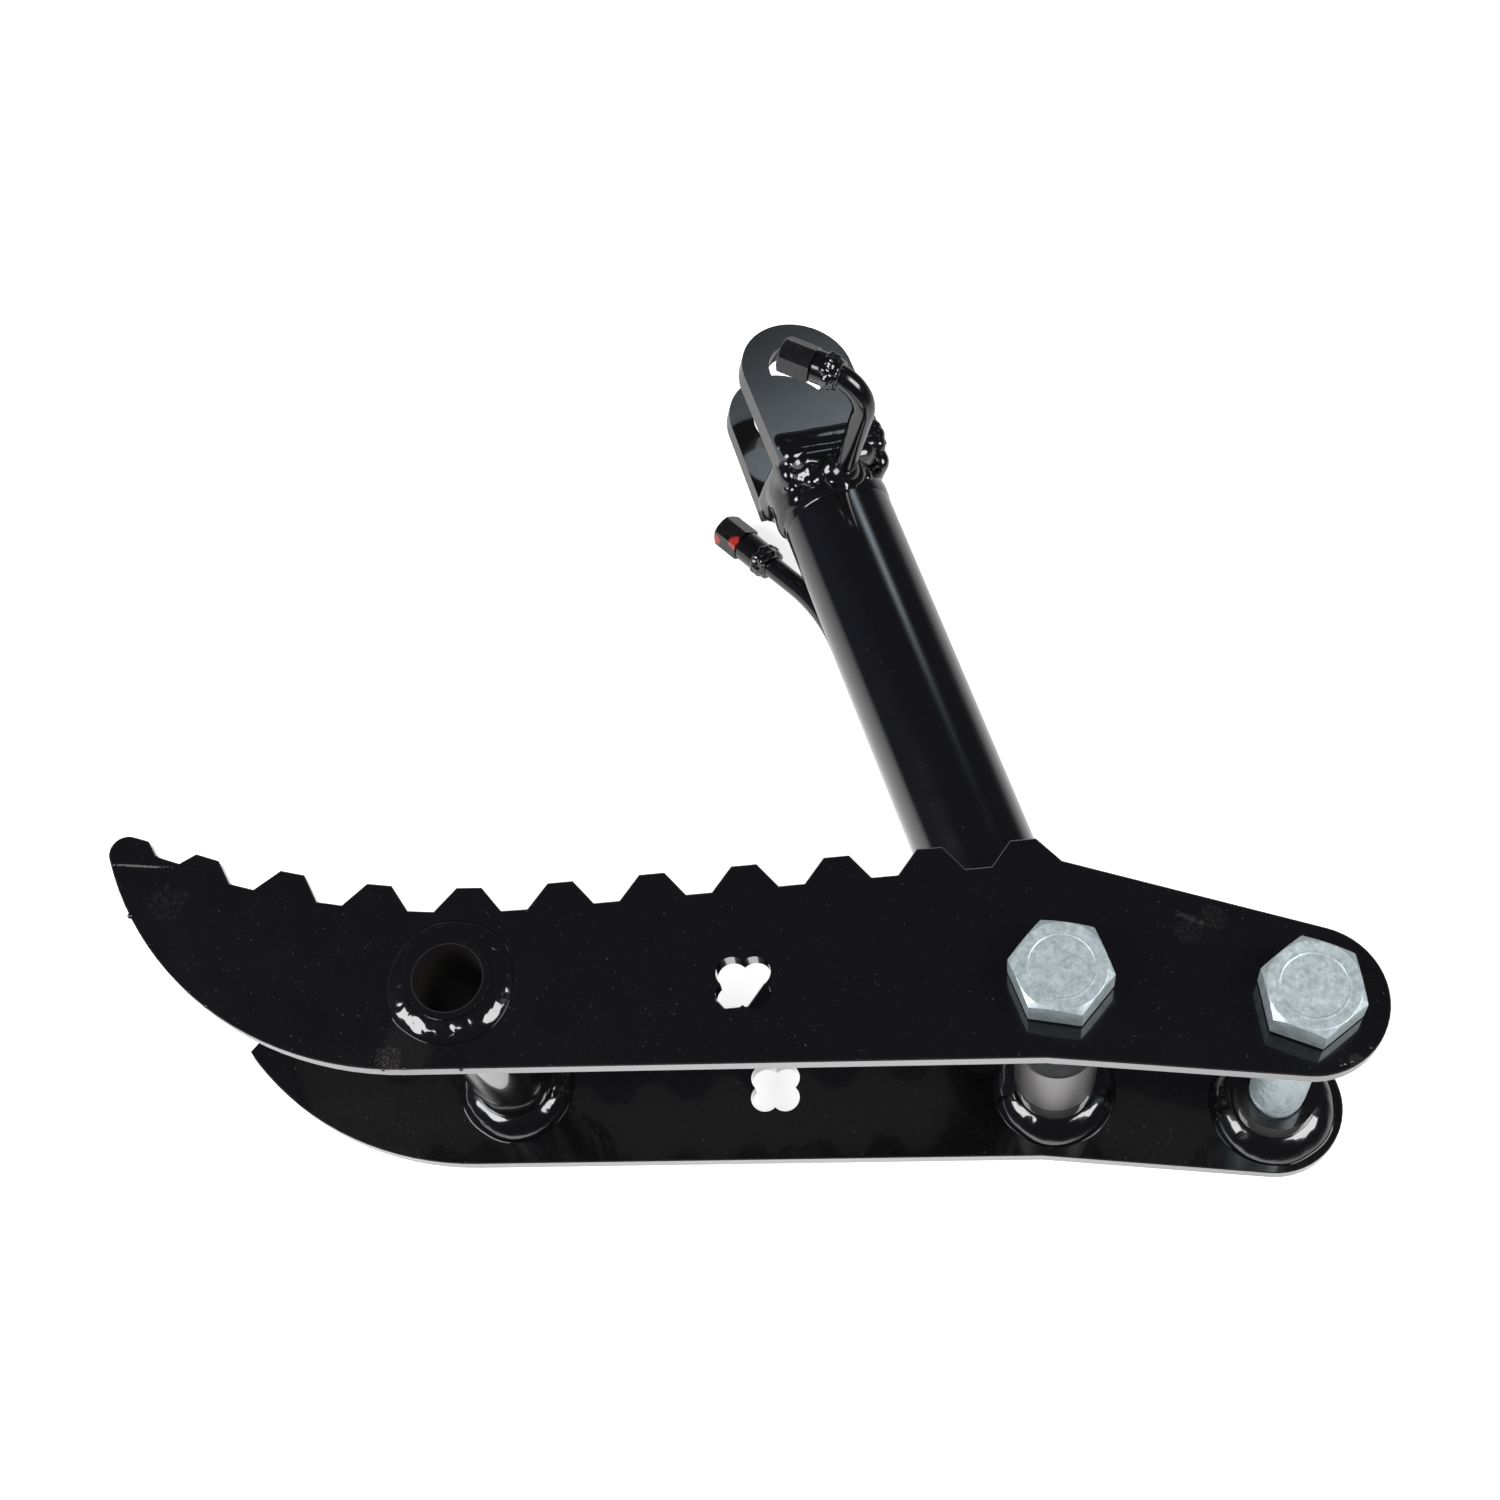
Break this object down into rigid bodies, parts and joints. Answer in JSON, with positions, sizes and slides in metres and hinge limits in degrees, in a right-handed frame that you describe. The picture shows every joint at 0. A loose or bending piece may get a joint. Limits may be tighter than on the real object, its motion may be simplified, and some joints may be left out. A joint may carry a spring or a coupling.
{
  "type": "excavator thumb",
  "caption": "Toothed gripping thumb for a small excavator, two profiled side plates on pivot bolts, swung by a hydraulic cylinder that reaches out between them.",
  "frame": {"origin": "on the axis of the arm pivot bolt, midway between the two side plates", "axes": "+X from the toothed tip towards the rounded pivot end, +Y towards the clevis end of the cylinder, +Z square to the side plates towards the bolt heads"},
  "size_m": [0.4281, 0.3371, 0.1625],
  "materials": {
    "black_paint": "gloss black enamel over welded steel",
    "zinc": "bright zinc plate, slightly blue",
    "chrome_rod": "ground and hard chromed",
    "machined_steel": "turned, oiled",
    "seal_rubber": "smooth black",
    "guide_ring": "matt bronze-filled plastic",
    "cap_plastic": "red plastic, nearly all covered by black paint"
  },
  "bodies": {
    "frame": {"upper_side_plate": "black_paint", "lower_side_plate": "black_paint", "cross_tube": "black_paint", "pivot_boss_upper": "black_paint", "pivot_boss_lower": "black_paint", "cylinder_boss_upper": "black_paint", "cylinder_boss_lower": "black_paint", "pivot_bolt": "zinc", "pivot_nut": "zinc", "cylinder_bolt": "zinc", "cylinder_nut": "zinc"},
    "rod_side": {"rod_eye": "black_paint", "piston_rod": "chrome_rod", "piston": "machined_steel", "piston_nut": "machined_steel"},
    "piston_rings": {"piston_wear_ring": "guide_ring", "piston_seal": "seal_rubber"},
    "barrel_side": {"barrel_tube": "black_paint", "rod_gland": "machined_steel", "rod_wiper": "seal_rubber", "rod_seal": "seal_rubber", "gland_o_ring": "seal_rubber", "base_cap": "black_paint", "barrel_weld": "black_paint", "upper_ear": "black_paint", "lower_ear": "black_paint", "base_port_pipe": "black_paint", "base_port_fitting": "black_paint", "rod_port_block": "black_paint", "rod_port_pipe": "black_paint", "rod_port_fitting": "black_paint"},
    "base_port_cap": {"base_port_cap": "cap_plastic"},
    "rod_port_cap": {"rod_port_cap": "cap_plastic"}
  },
  "joints": [
    {"name": "cylinder_swing", "type": "hinge", "parent": "frame", "child": "rod_side", "pos_m": [-0.0784, 0.0083, -0.0173], "axis": [0, 0, 1], "range_deg": [-88, 34]},
    {"name": "barrel_roll", "type": "hinge", "parent": "rod_side", "child": "piston_rings", "pos_m": [-0.14304, 0.19757, -0.0173], "axis": [-0.3289, 0.9444, 0], "continuous": true},
    {"name": "cylinder_stroke", "type": "slide", "parent": "piston_rings", "child": "barrel_side", "axis": [-0.3289, 0.9444, 0], "range_m": [0, 0.12]},
    {"name": "base_cap_turn", "type": "hinge", "parent": "barrel_side", "child": "base_port_cap", "pos_m": [-0.15694, 0.25404, 0.05461], "axis": [-0.9036, 0.4207, 0.0805], "continuous": true},
    {"name": "rod_cap_turn", "type": "hinge", "parent": "barrel_side", "child": "rod_port_cap", "pos_m": [-0.18934, 0.23143, -0.04483], "axis": [-0.6855, 0.7139, -0.143], "continuous": true}
  ]
}
